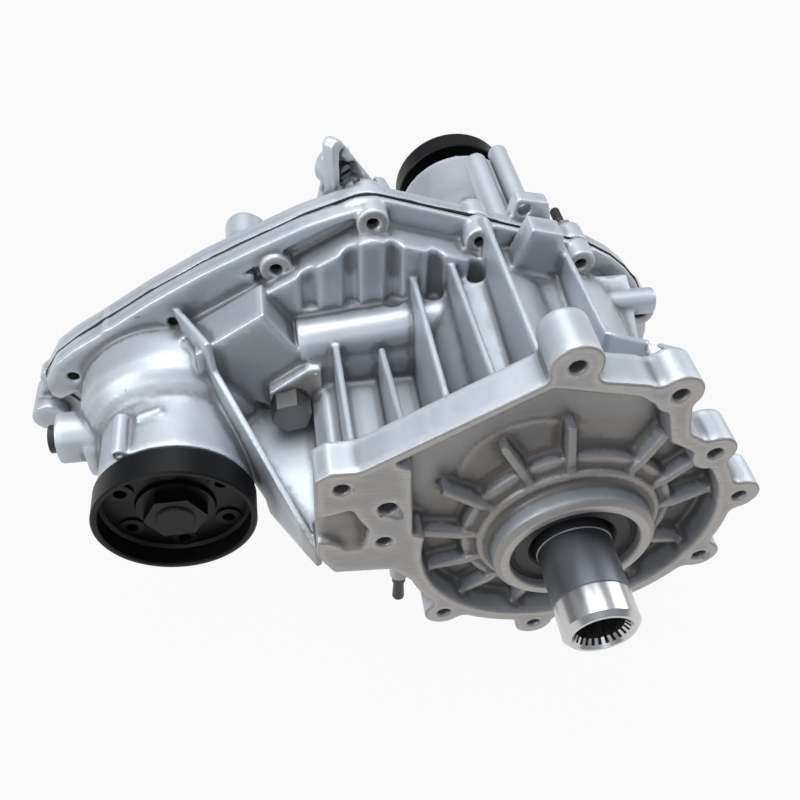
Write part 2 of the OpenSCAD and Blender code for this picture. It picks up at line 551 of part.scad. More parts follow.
// Through shaft: nose with inner spline, seal land, bearing seats, rear thread
nose_r = nose_d / 2;
module input_shaft() color("darkgray") difference() {
  union() {
    turned([[0, -nose_len + 20], [0, rear_cup_y + 16], [11, rear_cup_y + 16], [12, rear_cup_y + 15],
      [12, rear_cup_y + 4], [18, rear_cup_y + 4], [18, tail_y - 18], [24, tail_y - 18], [main_brg[1], tail_y - 19],
      [main_brg[1], main_brg_y[2][0]], [28, main_brg_y[2][0]], [28, main_brg_y[2][0] - 4],
      [22, main_brg_y[2][0] - 12], [22, main_brg_y[1][1] + 14], [main_brg[1], main_brg_y[1][1] + 6],
      [main_brg[1], main_brg_y[1][0]], [gear_seat_r, main_brg_y[1][0]], [gear_seat_r, drum_y1 - 4],
      [main_brg[1], drum_y1 - 4], [main_brg[1], 32], [30, 32], [30, main_brg_y[0][1]],
      [main_brg[1], main_brg_y[0][1]], [main_brg[1], main_brg_y[0][0] - 2], [nose_r + 0.6, main_brg_y[0][0] - 3],
      [nose_r + 0.6, -9.4], [nose_r, -10], [nose_r, -45.2], [nose_r - 0.4, -45.6], [nose_r, -46],
      [nose_r, -nose_len + 3], [nose_r - 3, -nose_len], [nose_r - 4, -nose_len], [nose_r - 4, -nose_len + 20]]);
    tube(-nose_len, -nose_len + spline_len, nose_r - 3.2, 1);
  }
  translate([0, spline_len - nose_len, 0]) rotate([90, 0, 0]) linear_extrude(spline_len + 1)
    polygon(toothed(spline_d / 2 - 1.4, spline_d / 2 + 1.2, spline_teeth));
  turned([[0, -nose_len - 1], [nose_r - 4, -nose_len - 1], [spline_d / 2 - 1.6, -nose_len + 5], [0, -nose_len + 5]]);
}
// Lip seal: a turned ring with a stepped case and its lip round the shaft
module lip_seal(y0, y1, ro, ri, at = [0, 0]) turned([[ro, y0 + 1], [ro, y1], [ro - 3, y1], [ro - 3, y0 + 4],
  [(ro + ri) / 2, y0 + 4], [ri + 3, y1 - 1], [ri + 0.4, y1 - 1], [ri + 0.05, y1 - 3], [ri + 2.5, y0 + 3],
  [ri + 4, y0 + 1.5], [ro - 4, y0 + 1.5], [ro - 3, y0]], at);
module input_seal() color([0.1, 0.09, 0.08]) lip_seal(-7, 3.5, bore_r, nose_r + 0.6);
module front_output_seal() color([0.1, 0.09, 0.08]) lip_seal(front_cup_y + 22, front_cup_y + 32.5, front_seal_r, 23, front_c);
module rear_output_seal() color([0.1, 0.09, 0.08]) turned([[bore_r, tail_y - 1], [bore_r, tail_y - 10],
  [bore_r - 3, tail_y - 10], [bore_r - 3, tail_y - 5], [33, tail_y - 5], [27, tail_y - 9], [24.4, tail_y - 9],
  [24.05, tail_y - 7], [27, tail_y - 2], [bore_r - 3, tail_y - 1.5]]);

// Ball bearings: b is [outer radius, inner radius, ball radius, balls]
function race_mid(b) = (b[0] + b[1]) / 2;
module race_outer(b, ys, at) turned_cut(b, ys, at) tube(ys[0], ys[1], b[0], race_mid(b) + b[2] * 0.5, at);
module race_inner(b, ys, at) turned_cut(b, ys, at) tube(ys[0], ys[1], race_mid(b) - b[2] * 0.5, b[1], at);
module turned_cut(b, ys, at) difference() {
  children();
  translate([at[0], (ys[0] + ys[1]) / 2, at[1]]) rotate([-90, 0, 0])
    rotate_extrude() translate([race_mid(b), 0]) circle(r = b[2] + 0.1);
}
module ball_set(b, ys, at) translate([at[0], (ys[0] + ys[1]) / 2, at[1]]) round_y(b[3])
  translate([race_mid(b), 0, 0]) sphere(r = b[2], $fn = 24);
module main_bearing_outers() color("silver") for (y = main_brg_y) race_outer(main_brg, y, main_c);
module main_bearing_inners() color("silver") for (y = main_brg_y) race_inner([main_brg[0], main_brg[1] + fit, main_brg[2]], y, main_c);
module main_bearing_balls() color("silver") for (y = main_brg_y) ball_set(main_brg, y, main_c);
module idler_bearing_outers() color("silver") for (y = idler_brg_y) race_outer(idler_brg, y, idler_c);
module idler_bearing_inners() color("silver") for (y = idler_brg_y) race_inner([idler_brg[0], idler_brg[1] + fit, idler_brg[2]], y, idler_c);
module idler_bearing_balls() color("silver") for (y = idler_brg_y) ball_set(idler_brg, y, idler_c);
module front_bearing_outers() color("silver") for (y = front_brg_y) race_outer(front_brg, y, front_c);
module front_bearing_inners() color("silver") for (y = front_brg_y) race_inner([front_brg[0], front_brg[1] + fit, front_brg[2]], y, front_c);
module front_bearing_balls() color("silver") for (y = front_brg_y) ball_set(front_brg, y, front_c);

// Clutch: drum fixed to the drive gear, hub on the shaft, plates between them
module clutch_drum() color("dimgray") difference() {
  union() {
    tube(stack_y0 - 4, drum_y1 - 3, drum_r, drum_r - 3);
    tube(drum_y1 - 9, drum_y1 - 3, drum_r - 1, gear_seat_r + 1);
    tube(drum_y1 - 9, drum_y1, 34, gear_seat_r + 1);
  }
  for (k = [0:11]) rotate([0, 30 * k, 0]) translate([drum_r - 6, stack_y0 - 5, -4]) cube([4.5, stack_y1 - stack_y0 + 8, 8]);
}
module clutch_hub() color("gray") difference() {
  ext(stack_y0 - 2, stack_y1 + 4) polygon(toothed(hub_r, hub_r + hub_tooth, 24));
  rod(stack_y0 - 3, stack_y1 + 5, main_brg[1] + fit);
  for (y = [stack_y0 - 3, stack_y1 - 3]) tube(y, y + 8, hub_r - 3.5, main_brg[1] + 4);
}
module friction_plates() color("saddlebrown") for (i = [0:plates - 1])
  ext(stack_y0 + plate_t + 0.1 + i * stack_pitch, stack_y0 + 2 * plate_t + 0.1 + i * stack_pitch) difference() {
    circle(r = drum_r - 8);
    polygon(toothed(hub_r + 0.15, hub_r + hub_tooth + 0.3, 24));
  }
module steel_plates() color("silver") for (i = [0:plates]) let(y = stack_y0 + i * stack_pitch) difference() {
  union() {
    tube(y, y + plate_t, drum_r - 3.2, hub_r + hub_tooth + 2);
    for (k = [0:11]) rotate([0, 30 * k, 0]) translate([drum_r - 6, y, -3.8]) cube([4.3, plate_t, 7.6]);
  }
  rod(y - 1, y + plate_t + 1, hub_r + hub_tooth + 2);
}
module pressure_plate() color("gray") turned([[main_brg[1] + 6, stack_y0 - 11], [drum_r - 12, stack_y0 - 11],
  [drum_r - 8, stack_y0 - 8], [drum_r - 8, stack_y0 - press_travel - 0.3],
  [hub_r + hub_tooth + 2, stack_y0 - press_travel - 0.3], [hub_r + 1, stack_y0 - 5], [main_brg[1] + 6, stack_y0 - 5]]);
// Ring that pushes the pressure plate, carried by the case
module apply_ring() color("dimgray") difference() {
  turned([[38, 36.3], [62, 36.3], [62, 42], [56, stack_y0 - 11.1], [40, stack_y0 - 11.1], [38, stack_y0 - 13]]);
  round_y(6) rod(30, 42, 4, [50, 0]);
}
module bearing_sleeve() color("silver") tube(main_brg_y[1][1] + 0.1, main_brg_y[1][1] + 5, 30, main_brg[1] + fit);

module idler_shaft() color("darkgray") difference() {
  rod(wall_y - 1.7, chamber_y1 + 5.7, 15, idler_c);
  rod(wall_y - 3, chamber_y1 - 20, 4, idler_c);
}
shaft_tip = front_cup_y + 2;
module front_output_shaft() color("darkgray") turned([[0, shaft_tip], [11, shaft_tip], [12, shaft_tip + 1], [12, front_cup_y + 14],
  [15, front_cup_y + 14], [15, front_brg_y[0][0] - 1], [front_brg[1], front_brg_y[0][0] - 1], [front_brg[1], front_brg_y[0][1]],
  [20, front_brg_y[0][1]], [20, wall_y - 16], [24, wall_y - 12], [24, gear_y0], [20, gear_y0], [20, front_brg_y[1][0]],
  [front_brg[1], front_brg_y[1][0]], [front_brg[1], front_brg_y[1][1]], [0, front_brg_y[1][1]]], front_c);

// Output cup: rim, back plate and the hub sleeve that runs in the seal
cup_r = cup_d / 2;
plate_cup = 5;
module cup(hub_len, hub_r_out, hub_bore) difference() {
  union() {
  turned([[cup_r, 1], [cup_r, cup_len - 1], [cup_r - 1, cup_len], [hub_r_out + 4, cup_len], [hub_r_out, cup_len + 2],
    [hub_r_out, cup_len + hub_len], [hub_bore, cup_len + hub_len], [hub_bore, cup_len - plate_cup - 3],
    [hub_bore + 9, cup_len - plate_cup - 3], [hub_bore + 10, cup_len - plate_cup], [cup_r - cup_wall - 2, cup_len - plate_cup],
    [cup_r - cup_wall, cup_len - plate_cup - 2], [cup_r - cup_wall, 1], [cup_r - cup_wall + 1, 0], [cup_r - 1, 0]]);
  round_y(cup_bolts, 90) rod(cup_len - plate_cup - 1.5, cup_len - plate_cup + 1, cup_bolt_d, [cup_pcd / 2, 0]);
  }
  round_y(cup_bolts, 90) rod(cup_len - plate_cup - 4, cup_len + 3, cup_bolt_d / 2 + fit, [cup_pcd / 2, 0]);
}
module shaft_nut(y0, y1, bore, af) difference() {
  translate([0, y1, 0]) rotate([90, 0, 0]) cylinder(h = y1 - y0, r = af / sqrt(3), $fn = 6);
  rod(y0 - 1, y1 + 1, bore);
}
module front_place() translate([front_c[0], front_cup_y, 0]) children();
module rear_place() translate([0, rear_cup_y + cup_len, 0]) rotate([0, 0, 180]) children();
module front_output_cup() color([0.05, 0.05, 0.05]) front_place() cup(12, 23, 15 + fit);
module rear_output_cup() color([0.05, 0.05, 0.05]) rear_place() cup(36, 24, 18 + fit);
module front_shaft_nut() color("dimgray") front_place() shaft_nut(3.5, cup_len - plate_cup - 3, 12 + fit, 34);
module rear_shaft_nut() color("dimgray") rear_place() shaft_nut(4, cup_len - plate_cup - 3, 12 + fit, 34);

// Plugs, washers and small fittings
hex_h = 14;
module fill_plug() color([0.2, 0.2, 0.2]) {
  translate([fill_c[0], fill_y - 1.5, fill_c[1]]) rotate([90, 0, 0]) rotate(12) cylinder(h = hex_h, r = 13, $fn = 6);
  rod(fill_y - 1.5, fill_y + 12, fill_thread_r, fill_c);
}
module drain_plug() color([0.3, 0.3, 0.3]) translate([drain_c[0], drain_c[1], 0]) {
  translate([0, 0, drain_z - 9]) cylinder(h = 9, r = 11, $fn = 6);
  translate([0, 0, drain_z]) cylinder(h = 13, r = 7);
}
module side_plug() color([0.15, 0.15, 0.15]) translate([side_x, side_y, side_z]) rotate([0, 90, 0]) {
  translate([0, 0, -6]) cylinder(h = 6, r = 9.5);
  cylinder(h = 12, r = 6);
}
module plug_washers() color("peru") {
  tube(fill_y - 1.5, fill_y, 12.5, fill_thread_r + fit, fill_c);
  translate([drain_c[0], drain_c[1], drain_z]) difference() {
    cylinder(h = 1.5, r = 11.5);
    translate([0, 0, -1]) cylinder(h = 4, r = 7 + fit);
  }
}
module drain_nipple() color("gray") translate([nipple_c[0], nipple_c[1], nipple_z]) difference() {
  union() {
    translate([0, 0, -28]) cylinder(h = 20, r1 = 4.2, r2 = 3.4);
    translate([0, 0, -8]) cylinder(h = 8, r = 4.6);
    cylinder(h = 10, r = 2.5);
  }
  translate([0, 0, -29]) cylinder(h = 40, r = 1.4);
}
// Bent breather pipe: an upright stem and a spout that points to the rear
module breather() color([0.1, 0.1, 0.1]) translate([breather_c[0], breather_c[1], 0]) {
  translate([0, 0, 62]) cylinder(h = 26, r = 2.5);
  translate([0, 0, 72]) cylinder(h = 13, r = 3.4);
  translate([0, 0, 88]) sphere(r = 3.4);
  translate([0, 12, 88]) rotate([90, 0, 0]) cylinder(h = 12, r = 3.4);
}
module on_control() translate([control_foot[0], control_foot[1], control_foot[2]]) rotate([0, 0, control_turn]) children();
module control_shaft() color("darkgray") on_control() difference() {
  rod(3, 17.6, 5, control_axis);
  translate([control_axis[0] - 6, 2, control_axis[1] - 1.2]) cube([12, 4, 2.4]);
}
module control_seal() color([0.1, 0.09, 0.08]) on_control() tube(6.2, 9, 8, 5.05, control_axis);
module control_bush() color("goldenrod") on_control() tube(9.4, 17.4, 8, 5.05, control_axis);
// Spring ring behind the rear bearing, open at the top
module bearing_circlip() color("dimgray") difference() {
  tube(main_brg_y[2][1] + 0.3, main_brg_y[2][1] + 2.3, circlip_r, circlip_r - 4.4);
  translate([-5, main_brg_y[2][1], 30]) cube([10, 3, 15]);
}
module sump_magnet() color([0.2, 0.2, 0.22]) translate([0, seam_y - 9, 0.5 - main_room]) cylinder(h = 5, r = 8);

front_case();
rear_case();
seam_sealant();
case_bolts();
dowel_pins();
input_shaft();
input_seal();
main_bearing_outers();
main_bearing_inners();
main_bearing_balls();
drive_gear();
clutch_drum();
clutch_hub();
friction_plates();
steel_plates();
pressure_plate();
apply_ring();
bearing_sleeve();
idler_gear();
idler_shaft();
idler_bearing_outers();
idler_bearing_inners();
idler_bearing_balls();
driven_gear();
front_output_shaft();
front_bearing_outers();
front_bearing_inners();
front_bearing_balls();
front_output_seal();
front_output_cup();
front_shaft_nut();
rear_output_seal();
rear_output_cup();
rear_shaft_nut();
fill_plug();
drain_plug();
side_plug();
plug_washers();
drain_nipple();
breather();
control_shaft();
control_seal();
control_bush();
bearing_circlip();
sump_magnet();
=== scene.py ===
"""Looks of the transfer case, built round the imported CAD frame, in metres."""

import json
import math

import bpy
import numpy as np
import openvdb
from mathutils import Matrix, Vector


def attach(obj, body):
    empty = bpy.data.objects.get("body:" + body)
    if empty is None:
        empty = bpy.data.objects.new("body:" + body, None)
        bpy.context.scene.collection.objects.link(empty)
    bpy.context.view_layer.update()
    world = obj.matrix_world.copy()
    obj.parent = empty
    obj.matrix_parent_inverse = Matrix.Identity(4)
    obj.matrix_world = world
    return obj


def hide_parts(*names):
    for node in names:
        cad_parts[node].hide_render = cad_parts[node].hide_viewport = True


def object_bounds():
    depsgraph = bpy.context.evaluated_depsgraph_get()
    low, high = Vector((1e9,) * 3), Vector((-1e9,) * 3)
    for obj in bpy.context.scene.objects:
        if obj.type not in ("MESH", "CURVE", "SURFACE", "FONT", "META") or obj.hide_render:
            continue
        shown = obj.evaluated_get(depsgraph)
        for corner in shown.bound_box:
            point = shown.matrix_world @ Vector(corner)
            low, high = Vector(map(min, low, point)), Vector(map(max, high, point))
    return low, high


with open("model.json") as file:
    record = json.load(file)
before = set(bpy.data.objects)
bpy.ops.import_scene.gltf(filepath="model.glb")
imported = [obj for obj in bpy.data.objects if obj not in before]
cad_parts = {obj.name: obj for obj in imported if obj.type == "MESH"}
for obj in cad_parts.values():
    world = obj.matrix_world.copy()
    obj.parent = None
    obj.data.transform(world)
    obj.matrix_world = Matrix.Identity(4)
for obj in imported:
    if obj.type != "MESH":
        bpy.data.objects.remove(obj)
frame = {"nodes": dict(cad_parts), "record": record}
nodes = frame["nodes"]
cad_box = [list(map(float, c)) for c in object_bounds()]
MM = 1000.0
FLOOR_GAP = 0.0005
FLOOR_Z = cad_box[0][2] - FLOOR_GAP


# Cast skins: the CAD solid as a distance field, with fillets in its corners
VOXEL = 0.0010
BAND = 6
MARGIN = 2
FILLET = 0.0030
EASED_EDGE = 0.0011
RADIUS_PER_SIGMA = 1.93
HOLLOW_REACH = 0.0022
ADAPTIVITY = 0.02


def blurred(field, radius):
    """The field under a Gaussian blur of this radius in metres, one axis at a time."""
    sigma = radius / VOXEL
    reach = max(1, int(math.ceil(3 * sigma)))
    taps = np.exp(-0.5 * (np.arange(-reach, reach + 1) / sigma) ** 2)
    taps = (taps / taps.sum()).astype(np.float32)
    for axis in range(3):
        padded = np.pad(field, [(reach, reach) if a == axis else (0, 0) for a in range(3)], "edge")
        total = np.zeros_like(field)
        size = field.shape[axis]
        for k, tap in enumerate(taps):
            cut = [slice(None)] * 3
            cut[axis] = slice(k, k + size)
            total += tap * padded[tuple(cut)]
        field = total
    return field


def mesh_arrays(source):
    mesh = source.data
    mesh.calc_loop_triangles()
    points = np.empty(len(mesh.vertices) * 3, np.float32)
    mesh.vertices.foreach_get("co", points)
    tris = np.empty(len(mesh.loop_triangles) * 3, np.int32)
    mesh.loop_triangles.foreach_get("vertices", tris)
    return points.reshape(-1, 3), tris.reshape(-1, 3)


def mesh_object(name, points, faces, smooth=True):
    mesh = bpy.data.meshes.new(name)
    mesh.from_pydata(points, [], faces)
    mesh.update()
    mesh.polygons.foreach_set("use_smooth", [smooth] * len(mesh.polygons))
    made = bpy.data.objects.new(name, mesh)
    bpy.context.scene.collection.objects.link(made)
    return made


# The flange's flat lobe at the far end: its edge and its screw holes in X and Z, in mm
LOBE_INNER = [(-325.4, 14.8), (-318.0, 5.8), (-302.3, 13.0), (-289.2, 26.0), (-272.6, 42.0),
              (-253.9, 54.0), (-236.0, 56.0), (-222.0, 68.0), (-212.0, 84.0), (-196.0, 94.0),
              (-170.0, 108.0), (-150.0, 120.0), (-128.0, 131.0), (-108.0, 138.0)]
LOBE_OUTER = [(-108.0, 142.6), (-126.0, 138.0), (-144.5, 132.0), (-176.3, 117.8), (-209.0, 102.4),
              (-243.3, 83.4), (-279.7, 60.3), (-298.4, 49.2), (-312.8, 38.3), (-324.3, 20.9)]
LOBE = LOBE_INNER + LOBE_OUTER
LOBE_HOLES = [(-304.0, 26.1), (-230.9, 66.7)]
LOBE_HOLE_R = 0.0046
LOBE_END_X = -0.100
FRONT_LOBE_Y = (0.1520, 0.1652)
REAR_LOBE_Y = (0.1658, 0.1790)


def lobe_field(shape, start, low, high):
    """Distance to the lobe standing between two depths, in metres."""
    x = ((np.arange(shape[0]) + start[0]) * VOXEL)[:, None]
    z = ((np.arange(shape[2]) + start[2]) * VOXEL)[None, :]
    nearest = np.full((shape[0], shape[2]), 1.0)
    inside = np.zeros((shape[0], shape[2]), bool)
    ends = [(a / MM, b / MM) for a, b in LOBE]
    for (ax, az), (bx, bz) in zip(ends, ends[1:] + ends[:1]):
        dx, dz = bx - ax, bz - az
        t = np.clip(((x - ax) * dx + (z - az) * dz) / (dx * dx + dz * dz), 0.0, 1.0)
        nearest = np.minimum(nearest, np.hypot(x - ax - t * dx, z - az - t * dz))
        if dz:
            crosses = (az > z) != (bz > z)
            inside ^= crosses & (x < ax + (z - az) * dx / dz)
    flat = np.where(inside, -nearest, nearest).astype(np.float32)
    for a, b in LOBE_HOLES:
        flat = np.maximum(flat, LOBE_HOLE_R - np.hypot(x - a / MM, z - b / MM).astype(np.float32))
    y = (np.arange(shape[1]) + start[1]) * VOXEL
    slab = (np.abs(y - (low + high) / 2) - (high - low) / 2).astype(np.float32)
    return np.maximum(flat[:, None, :], slab[None, :, None])


def cast_skin(name, node, lobe_depths):
    """The casting with its lobe added, its inner corners filled and its outer edges eased."""
    points, tris = mesh_arrays(nodes[node])
    grid = openvdb.FloatGrid.createLevelSetFromPolygons(
        points, triangles=tris, transform=openvdb.createLinearTransform(VOXEL), halfWidth=float(BAND))
    low, high = grid.evalActiveVoxelBoundingBox()
    shape = [high[i] - low[i] + 1 + 2 * MARGIN for i in range(3)]
    start = tuple(low[i] - MARGIN for i in range(3))
    field = np.zeros(shape, np.float32)
    grid.copyToArray(field, ijk=start)
    far_end = field[:int(LOBE_END_X / VOXEL) - start[0]]
    far_end[:] = np.minimum(far_end, lobe_field(far_end.shape, start, *lobe_depths))
    filled = np.minimum(field, blurred(field, FILLET / RADIUS_PER_SIGMA))
    eased = blurred(filled, EASED_EDGE / RADIUS_PER_SIGMA)
    # How deep each spot lies in a hollow, in mm. The casting's material uses it to darken hollows as painted
    # shade and to lighten convex edges as wear.
    hollow = (eased - blurred(eased, HOLLOW_REACH)) * MM
    out = openvdb.FloatGrid(float(BAND * VOXEL))
    out.copyFromArray(eased, ijk=start)
    out.transform = openvdb.createLinearTransform(VOXEL)
    out.gridClass = grid.gridClass
    verts, threes, fours = out.convertToPolygons(isovalue=0.0, adaptivity=ADAPTIVITY)
    faces = [tuple(f[::-1]) for f in threes.tolist() + fours.tolist()]
    made = mesh_object(name, verts.tolist(), faces)
    cells = np.rint(verts / VOXEL).astype(int) - np.array(start)
    cells = np.clip(cells, 0, np.array(hollow.shape) - 1)
    depth = made.data.attributes.new("hollow", "FLOAT", "POINT")
    depth.data.foreach_set("value", hollow[cells[:, 0], cells[:, 1], cells[:, 2]])
    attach(made, "housing")
    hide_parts(node)
    return made


front_skin = cast_skin("front_casting", "front_case", FRONT_LOBE_Y)
rear_skin = cast_skin("rear_casting", "rear_case", REAR_LOBE_Y)


# Materials: depths along Y and zones of the shaft and screws, in metres
BELL_DEPTH = 0.020
MACHINED_PLANES = (0.0, -0.012, 0.0645, 0.106, 0.148)
PLANE_REACH = 0.0004
CAST_METALLIC = 0.62
SHAFT_ZONE_Y = (-0.082, -0.010)
SHAFT_STEP_Y = (-0.0462, -0.0458)
THREAD_END_Y = (0.158, 0.164)
WHITE = (1.0, 1.0, 1.0)


class Nodes:
    """A material's node tree with short calls for what is used here."""

    def __init__(self, name):
        self.material = bpy.data.materials.new(name)
        self.material.use_nodes = True
        self.tree = self.material.node_tree
        self.shader = self.tree.nodes["Principled BSDF"]

    def add(self, kind, **values):
        made = self.tree.nodes.new(kind)
        for key, value in values.items():
            if hasattr(made, key):
                setattr(made, key, value)
            else:
                made.inputs[key.replace("_", " ")].default_value = value
        return made

    def link(self, a, b):
        self.tree.links.new(a, b)

    def place(self, scale=1.0):
        coords = self.add("ShaderNodeTexCoord")
        mapping = self.add("ShaderNodeMapping")
        mapping.inputs["Scale"].default_value = (scale,) * 3 if isinstance(scale, float) else scale
        self.link(coords.outputs["Object"], mapping.inputs["Vector"])
        return mapping.outputs["Vector"]

    def noise(self, scale, detail=3.0, rough=0.5, vector=None):
        made = self.add("ShaderNodeTexNoise")
        made.inputs["Scale"].default_value = scale
        made.inputs["Detail"].default_value = detail
        made.inputs["Roughness"].default_value = rough
        self.link(vector or self.place(), made.inputs["Vector"])
        return made.outputs["Fac"]

    def ramp(self, value, stops):
        """Colours or greys at their places from 0 to 1."""
        made = self.add("ShaderNodeValToRGB")
        self.link(value, made.inputs["Fac"])
        elements = made.color_ramp.elements
        while len(elements) < len(stops):
            elements.new(0.5)
        for element, (place, colour) in zip(elements, stops):
            element.position = place
            element.color = (*((colour,) * 3 if isinstance(colour, float) else colour), 1.0)
        return made.outputs["Color"]

    def mix(self, factor, a, b):
        made = self.add("ShaderNodeMix", data_type="RGBA")
        for socket, value in ((made.inputs["Factor"], factor), (made.inputs[6], a), (made.inputs[7], b)):
            if hasattr(value, "is_linked"):
                self.link(value, socket)
            else:
                socket.default_value = value if isinstance(value, float) else (*value, 1.0)
        return made.outputs[2]

    def along(self, axis):
        """Place along X, Y or Z in metres."""
        split = self.add("ShaderNodeSeparateXYZ")
        self.link(self.place(), split.inputs["Vector"])
        return split.outputs[axis]

    def math(self, operation, *values):
        made = self.add("ShaderNodeMath", operation=operation)
        for socket, value in zip(made.inputs, values):
            if hasattr(value, "is_linked"):
                self.link(value, socket)
            else:
                socket.default_value = value
        return made.outputs[0]

    def multiply(self, a, b, share=1.0):
        made = self.add("ShaderNodeMix", data_type="RGBA", blend_type="MULTIPLY")
        made.inputs["Factor"].default_value = share
        self.link(a, made.inputs[6])
        self.link(b, made.inputs[7])
        return made.outputs[2]

    def range(self, value, low, high, start=0.0, end=1.0):
        made = self.add("ShaderNodeMapRange")
        self.link(value, made.inputs["Value"])
        made.inputs["From Min"].default_value = start
        made.inputs["From Max"].default_value = end
        made.inputs["To Min"].default_value = low
        made.inputs["To Max"].default_value = high
        return made.outputs["Result"]

    def bump(self, height, strength, distance, normal=None):
        made = self.add("ShaderNodeBump")
        made.inputs["Strength"].default_value = strength
        made.inputs["Distance"].default_value = distance
        self.link(height, made.inputs["Height"])
        if normal is not None:
            self.link(normal, made.inputs["Normal"])
        return made.outputs["Normal"]


def cast_material():
    """Blasted casting: cool grey, browner as-cast in the bell with painted shade on its front-facing faces,
    machined faces, and painted shade in hollows with lighter worn edges.
    """
    m = Nodes("cast_aluminium")
    m.shader.inputs["Metallic"].default_value = CAST_METALLIC
    cloud = m.noise(14.0, 5.0, 0.6)
    grain = m.noise(1100.0, 2.0, 0.6)
    pits = m.noise(420.0, 2.0, 0.6)
    tone = m.ramp(cloud, [(0.3, (0.425, 0.445, 0.475)), (0.7, (0.50, 0.515, 0.54))])
    # Browner as-cast tone of the bell, made darker as painted shade for its faces that turn to the front.
    bell_cast_and_shade = m.ramp(cloud, [(0.3, (0.235, 0.222, 0.208)), (0.7, (0.315, 0.30, 0.285))])
    streaks = m.noise(1.0, 2.0, 0.5, m.place((60.0, 60.0, 900.0)))
    milled = m.ramp(streaks, [(0.3, (0.33, 0.315, 0.30)), (0.7, (0.39, 0.375, 0.36))])
    along_y = m.along("Y")
    in_bell = m.range(along_y, 1.0, 0.0, BELL_DEPTH - 0.001, BELL_DEPTH + 0.004)
    toward = m.add("ShaderNodeTexCoord").outputs["Normal"]
    split = m.add("ShaderNodeSeparateXYZ")
    m.link(toward, split.inputs["Vector"])
    faces_front = m.range(split.outputs["Y"], 1.0, 0.0, -0.55, 0.0)
    # The bell's darker tone goes only on faces turned to the front: partly browner as-cast metal, partly
    # painted shade.
    bell_cast_and_shade_share = m.math("MULTIPLY", in_bell, faces_front)
    flat = m.math("COMPARE", along_y, MACHINED_PLANES[0], PLANE_REACH)
    for y in MACHINED_PLANES[1:]:
        flat = m.math("MAXIMUM", flat, m.math("COMPARE", along_y, y, PLANE_REACH))
    flat = m.math("MULTIPLY", flat, m.range(split.outputs["Y"], 1.0, 0.0, -0.97, -0.9))
    colour = m.mix(flat, m.mix(bell_cast_and_shade_share, tone, bell_cast_and_shade), milled)
    hollow = m.add("ShaderNodeAttribute", attribute_name="hollow").outputs["Fac"]
    # Painted shade in hollows: the colour darkens where the hollow attribute is deep, and convex edges get a
    # lighter worn tone.
    hollow_shade_and_edge_wear = m.ramp(m.range(hollow, 0.0, 1.0, -0.5, 0.5),
                  [(0.20, 1.22), (0.42, 1.0), (0.53, 0.94), (0.76, (0.50, 0.49, 0.48))])
    m.link(m.multiply(colour, hollow_shade_and_edge_wear), m.shader.inputs["Base Color"])
    rough = m.math("SUBTRACT", m.range(cloud, 0.40, 0.50), m.math("MULTIPLY", flat, 0.10))
    m.link(rough, m.shader.inputs["Roughness"])
    normal = m.bump(grain, 0.30, 0.00025)
    m.link(m.bump(pits, 0.12, 0.0004, normal), m.shader.inputs["Normal"])
    return m.material


def steel_material(name, colour, rough, ring_scale=900.0):
    """Turned steel: fine rings along Y."""
    m = Nodes(name)
    m.shader.inputs["Metallic"].default_value = 1.0
    rings = m.noise(1.0, 2.0, 0.5, m.place((0.0, ring_scale, 0.0)))
    wear = m.noise(60.0, 4.0, 0.6)
    dark = tuple(c * 0.82 for c in colour)
    m.link(m.mix(m.range(rings, 0.0, 0.6), dark, colour), m.shader.inputs["Base Color"])
    m.link(m.range(wear, rough - 0.06, rough + 0.08), m.shader.inputs["Roughness"])
    m.link(m.bump(rings, 0.12, 0.0002), m.shader.inputs["Normal"])
    return m.material


def plain_material(name, colour, rough, metal=0.0, grain=300.0, bump=0.1, shine=0.5):
    """One colour, a little cloudy, over a fine grain."""
    m = Nodes(name)
    m.shader.inputs["Specular IOR Level"].default_value = shine
    m.shader.inputs["Metallic"].default_value = metal
    cloud = m.noise(25.0, 4.0, 0.6)
    fine = m.noise(grain, 3.0, 0.6)
    dark = tuple(c * 0.8 for c in colour)
    m.link(m.mix(m.range(cloud, 0.0, 1.0), dark, colour), m.shader.inputs["Base Color"])
    m.link(m.range(cloud, rough - 0.05, rough + 0.07), m.shader.inputs["Roughness"])
    m.link(m.bump(fine, bump, 0.0003), m.shader.inputs["Normal"])
    return m.material


def shaft_material():
    """The through shaft: blued land, fine groove and a bright ground nose."""
    m = Nodes("machined_steel")
    m.shader.inputs["Metallic"].default_value = 1.0
    along_y = m.along("Y")
    rings = m.noise(1.0, 3.0, 0.6, m.place((0.0, 2600.0, 0.0)))
    wear = m.noise(70.0, 4.0, 0.6)
    zone = m.ramp(m.range(along_y, 0.0, 1.0, *SHAFT_ZONE_Y),
                  [(0.0, 0.62), (0.495, 0.62), (0.50, (0.20, 0.215, 0.24)), (0.90, (0.24, 0.25, 0.27))])
    shade = m.ramp(rings, [(0.35, 0.86), (0.65, 1.0)])
    m.link(m.multiply(zone, shade), m.shader.inputs["Base Color"])
    duller = m.range(along_y, 0.0, 0.14, *SHAFT_STEP_Y)
    m.link(m.math("ADD", duller, m.range(wear, 0.20, 0.32)), m.shader.inputs["Roughness"])
    m.link(m.bump(rings, 0.10, 0.0002), m.shader.inputs["Normal"])
    return m.material


def screw_material():
    """Zinc screws, with dark oily threads where they end in the front casting."""
    m = Nodes("zinc_steel")
    m.shader.inputs["Metallic"].default_value = 1.0
    wear = m.noise(60.0, 4.0, 0.6)
    threaded = m.range(m.along("Y"), 1.0, 0.0, *THREAD_END_Y)
    m.link(m.mix(threaded, (0.46, 0.46, 0.46), (0.02, 0.02, 0.02)), m.shader.inputs["Base Color"])
    m.link(m.range(wear, 0.28, 0.42), m.shader.inputs["Roughness"])
    return m.material


